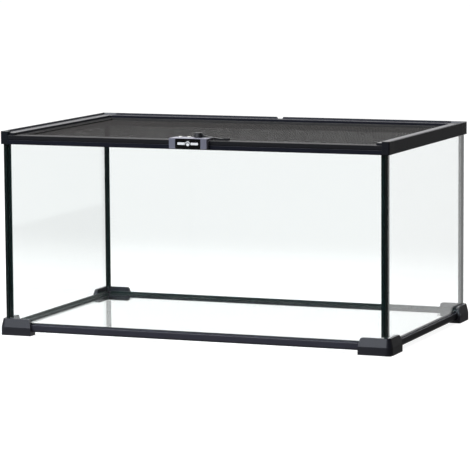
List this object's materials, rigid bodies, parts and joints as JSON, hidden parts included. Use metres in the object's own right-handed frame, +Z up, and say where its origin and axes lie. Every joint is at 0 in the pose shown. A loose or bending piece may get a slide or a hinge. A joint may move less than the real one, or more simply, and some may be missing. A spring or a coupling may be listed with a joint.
{
  "type": "small animal cage",
  "caption": "Low glass small-animal cage with black plastic top and bottom frames, corner feet, and a framed mesh lid that slides out forwards and locks with a turn lever.",
  "frame": {"origin": "on the ground at the middle of the footprint, halfway between the outer faces of the left and right panes and of the front and back panes", "axes": "+X along the wide front, to the right; +Y from the front, where the lid slides out, to the back; +Z up"},
  "size_m": [0.6156, 0.3837, 0.3095],
  "materials": {
    "glass": "clear float glass with ground edges",
    "frame_plastic": "extruded black plastic, satin to glossy",
    "foot_plastic": "moulded black plastic, fine texture",
    "lid_plastic": "extruded black plastic, satin",
    "silicone": "black silicone sealant",
    "pad_rubber": "matt black rubber",
    "mesh": "dark grey coated woven wire",
    "spline": "matt black rubber",
    "lock_plastic": "moulded charcoal plastic, satin",
    "badge": "glossy black with a plain light emblem",
    "steel": "zinc-plated steel",
    "washer": "natural black nylon",
    "lever_plastic": "moulded black plastic, satin"
  },
  "bodies": {
    "tank": {"glass_left": "glass", "glass_right": "glass", "glass_front": "glass", "glass_back": "glass", "glass_floor": "glass", "foot_front_left": "foot_plastic", "foot_pad_front_left": "pad_rubber", "corner_seal_front_left": "silicone", "top_corner_front_left": "frame_plastic", "foot_front_right": "foot_plastic", "foot_pad_front_right": "pad_rubber", "corner_seal_front_right": "silicone", "top_corner_front_right": "frame_plastic", "foot_back_left": "foot_plastic", "foot_pad_back_left": "pad_rubber", "corner_seal_back_left": "silicone", "top_corner_back_left": "frame_plastic", "foot_back_right": "foot_plastic", "foot_pad_back_right": "pad_rubber", "corner_seal_back_right": "silicone", "top_corner_back_right": "frame_plastic", "bottom_rail_front": "frame_plastic", "floor_seal_front": "silicone", "top_rail_front": "frame_plastic", "bottom_rail_back": "frame_plastic", "floor_seal_back": "silicone", "top_rail_back": "frame_plastic", "bottom_rail_left": "frame_plastic", "floor_seal_left": "silicone", "top_rail_left": "frame_plastic", "bottom_rail_right": "frame_plastic", "floor_seal_right": "silicone", "top_rail_right": "frame_plastic"},
    "lid": {"lid_bar_front": "lid_plastic", "lid_bar_back": "lid_plastic", "lid_bar_left": "lid_plastic", "lid_bar_right": "lid_plastic", "lid_corner_keys": "lid_plastic", "lid_mesh": "mesh", "mesh_spline": "spline", "lock_body": "lock_plastic", "lock_badge": "badge", "lock_screws": "steel", "lock_washer": "washer"},
    "latch": {"lock_lever": "lever_plastic", "lock_shaft": "steel", "lock_cam": "steel"}
  },
  "joints": [
    {"name": "lid_slide", "type": "slide", "parent": "tank", "child": "lid", "axis": [0, -1, 0], "range_m": [0, 0.34]},
    {"name": "latch_turn", "type": "hinge", "parent": "lid", "child": "latch", "pos_m": [0.0082, -0.1715, 0.303], "axis": [0, 0, 1], "range_deg": [0, 90]}
  ]
}
